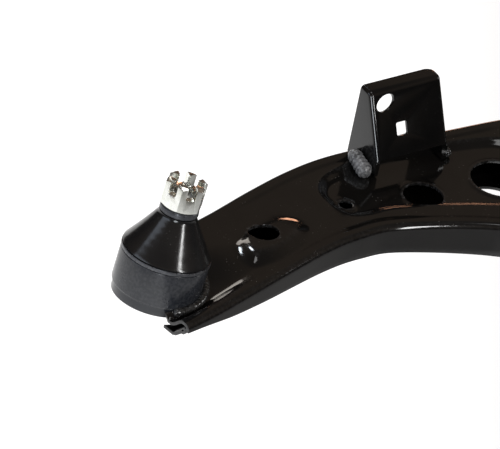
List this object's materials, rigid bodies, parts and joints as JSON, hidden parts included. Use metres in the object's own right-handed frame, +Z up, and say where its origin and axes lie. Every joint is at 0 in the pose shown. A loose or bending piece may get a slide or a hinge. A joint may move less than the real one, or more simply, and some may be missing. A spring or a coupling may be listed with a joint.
{
  "type": "front lower control arm",
  "caption": "Left-hand stamped steel lower control arm with a ball joint under a conical boot, a castle nut, an upright bracket and two rubber bushes.",
  "frame": {"origin": "centre of the ball joint's ball", "axes": "+X inboard along the arm, +Y to the front of the car, +Z up, square to the arm's flat top"},
  "size_m": [0.3745, 0.2616, 0.0993],
  "materials": {
    "arm_paint": "gloss black stove enamel",
    "weld_paint": "gloss black over rippled weld",
    "housing_paint": "satin black",
    "clip_paint": "satin black",
    "zinc_steel": "bright zinc plate",
    "machined_steel": "machined",
    "boot_rubber": "smooth glossy rubber",
    "bush_rubber": "matt moulded rubber",
    "seat_plastic": "smooth natural plastic"
  },
  "bodies": {
    "arm": {"upper_shell": "arm_paint", "lower_shell": "arm_paint", "bracket": "arm_paint", "bracket_weld_left": "weld_paint", "bracket_weld_right": "weld_paint", "seam_weld_front": "weld_paint", "seam_weld_rear": "weld_paint", "ball_housing": "housing_paint", "housing_weld": "weld_paint", "housing_cover": "machined_steel", "ball_seat": "seat_plastic", "seat_spring": "machined_steel", "front_bush_tube": "arm_paint", "front_bush_weld": "weld_paint", "front_bush_can": "machined_steel", "front_bush_rubber": "bush_rubber", "rear_bush_tube": "arm_paint", "rear_bush_weld": "weld_paint", "rear_bush_can": "machined_steel", "rear_bush_rubber": "bush_rubber"},
    "boot_base": {"boot_clip_lower": "clip_paint", "dust_boot": "boot_rubber"},
    "stud": {"ball_stud": "machined_steel", "castle_nut": "zinc_steel", "boot_clip_upper": "clip_paint"},
    "front_sleeve": {"front_bush_sleeve": "zinc_steel"},
    "rear_sleeve": {"rear_bush_sleeve": "zinc_steel"}
  },
  "joints": [
    {"name": "ball_swivel", "type": "hinge", "parent": "arm", "child": "boot_base", "pos_m": [0, 0, 0], "axis": [0.1581, 0.0345, 0.9868], "continuous": true},
    {"name": "ball_swing", "type": "hinge", "parent": "boot_base", "child": "stud", "pos_m": [0, 0, 0], "axis": [-0.0055, 0.9994, -0.034], "range_deg": [-20, 20], "deforming": ["dust_boot"]},
    {"name": "front_bush_twist", "type": "hinge", "parent": "arm", "child": "front_sleeve", "pos_m": [0.325, -0.009, -0.013], "axis": [0, 1, 0], "range_deg": [-18, 18], "stiffness_Nm_per_rad": 0.5},
    {"name": "rear_bush_twist", "type": "hinge", "parent": "arm", "child": "rear_sleeve", "pos_m": [0.325, -0.189, -0.013], "axis": [0, 1, 0], "range_deg": [-18, 18], "stiffness_Nm_per_rad": 0.5}
  ],
  "couplings": [
    {"joint": "rear_bush_twist", "follows": "front_bush_twist", "ratio": 1}
  ]
}
